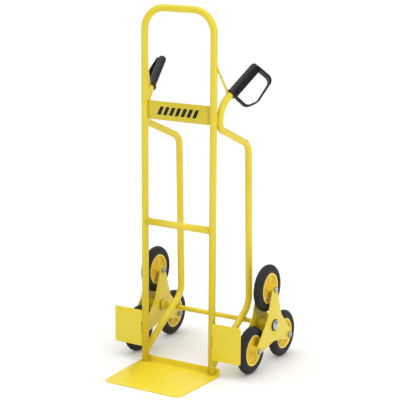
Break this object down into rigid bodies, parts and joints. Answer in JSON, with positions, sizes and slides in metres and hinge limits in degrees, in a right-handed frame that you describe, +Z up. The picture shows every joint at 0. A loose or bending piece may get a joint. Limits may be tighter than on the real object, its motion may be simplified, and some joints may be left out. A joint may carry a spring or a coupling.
{
  "type": "stair-climbing hand truck",
  "caption": "Upright tube-frame hand truck with a flat toe plate, guarded rear hand grips and three-wheeled stars for climbing stairs.",
  "frame": {"origin": "underside of the toe plate, midway between the centre lines of the uprights", "axes": "+Z up, +X to the truck's right as seen from the toe plate side, -Y towards the toe plate's front edge"},
  "size_m": [0.5006, 0.5897, 1.1497],
  "materials": {
    "yellow_paint": "semi-gloss powder coat",
    "hub_plastic": "moulded, satin",
    "tyre_rubber": "matte rubber",
    "grip_plastic": "moulded, fine grain",
    "black_plastic": "satin",
    "zinc": "zinc plated",
    "chrome": "polished"
  },
  "bodies": {
    "frame": {"hoop_frame": "yellow_paint", "cross_tube": "yellow_paint", "name_panel": "yellow_paint", "toe_plate": "yellow_paint", "axle": "yellow_paint", "left_guard_plate": "yellow_paint", "left_side_tube": "yellow_paint", "left_brace_rod": "yellow_paint", "left_grip": "grip_plastic", "left_axle_collar": "yellow_paint", "left_axle_washer": "black_plastic", "left_axle_cap": "chrome", "right_guard_plate": "yellow_paint", "right_side_tube": "yellow_paint", "right_brace_rod": "yellow_paint", "right_grip": "grip_plastic", "right_axle_collar": "yellow_paint", "right_axle_washer": "black_plastic", "right_axle_cap": "chrome"},
    "left_star": {"left_star_outer_plate": "yellow_paint", "left_star_inner_plate": "yellow_paint", "left_star_hub_tube": "yellow_paint", "left_top_bolt": "zinc", "left_top_nut": "zinc", "left_top_spacer": "zinc", "left_front_bolt": "zinc", "left_front_nut": "zinc", "left_front_spacer": "zinc", "left_rear_bolt": "zinc", "left_rear_nut": "zinc", "left_rear_spacer": "zinc"},
    "left_top_wheel": {"left_top_wheel_hub": "hub_plastic", "left_top_tyre": "tyre_rubber"},
    "left_front_wheel": {"left_front_wheel_hub": "hub_plastic", "left_front_tyre": "tyre_rubber"},
    "left_rear_wheel": {"left_rear_wheel_hub": "hub_plastic", "left_rear_tyre": "tyre_rubber"},
    "right_star": {"right_star_outer_plate": "yellow_paint", "right_star_inner_plate": "yellow_paint", "right_star_hub_tube": "yellow_paint", "right_top_bolt": "zinc", "right_top_nut": "zinc", "right_top_spacer": "zinc", "right_front_bolt": "zinc", "right_front_nut": "zinc", "right_front_spacer": "zinc", "right_rear_bolt": "zinc", "right_rear_nut": "zinc", "right_rear_spacer": "zinc"},
    "right_top_wheel": {"right_top_wheel_hub": "hub_plastic", "right_top_tyre": "tyre_rubber"},
    "right_front_wheel": {"right_front_wheel_hub": "hub_plastic", "right_front_tyre": "tyre_rubber"},
    "right_rear_wheel": {"right_rear_wheel_hub": "hub_plastic", "right_rear_tyre": "tyre_rubber"}
  },
  "joints": [
    {"name": "left_star_spin", "type": "hinge", "parent": "frame", "child": "left_star", "pos_m": [-0.2106, 0.1945, 0.135], "axis": [1, 0, 0], "continuous": true},
    {"name": "right_star_spin", "type": "hinge", "parent": "frame", "child": "right_star", "pos_m": [0.2106, 0.1945, 0.135], "axis": [1, 0, 0], "continuous": true},
    {"name": "left_top_wheel_spin", "type": "hinge", "parent": "left_star", "child": "left_top_wheel", "pos_m": [-0.2106, 0.1945, 0.253], "axis": [1, 0, 0], "continuous": true},
    {"name": "left_front_wheel_spin", "type": "hinge", "parent": "left_star", "child": "left_front_wheel", "pos_m": [-0.2106, 0.09231, 0.076], "axis": [1, 0, 0], "continuous": true},
    {"name": "left_rear_wheel_spin", "type": "hinge", "parent": "left_star", "child": "left_rear_wheel", "pos_m": [-0.2106, 0.29669, 0.076], "axis": [1, 0, 0], "continuous": true},
    {"name": "right_top_wheel_spin", "type": "hinge", "parent": "right_star", "child": "right_top_wheel", "pos_m": [0.2106, 0.1945, 0.253], "axis": [1, 0, 0], "continuous": true},
    {"name": "right_front_wheel_spin", "type": "hinge", "parent": "right_star", "child": "right_front_wheel", "pos_m": [0.2106, 0.09231, 0.076], "axis": [1, 0, 0], "continuous": true},
    {"name": "right_rear_wheel_spin", "type": "hinge", "parent": "right_star", "child": "right_rear_wheel", "pos_m": [0.2106, 0.29669, 0.076], "axis": [1, 0, 0], "continuous": true}
  ]
}
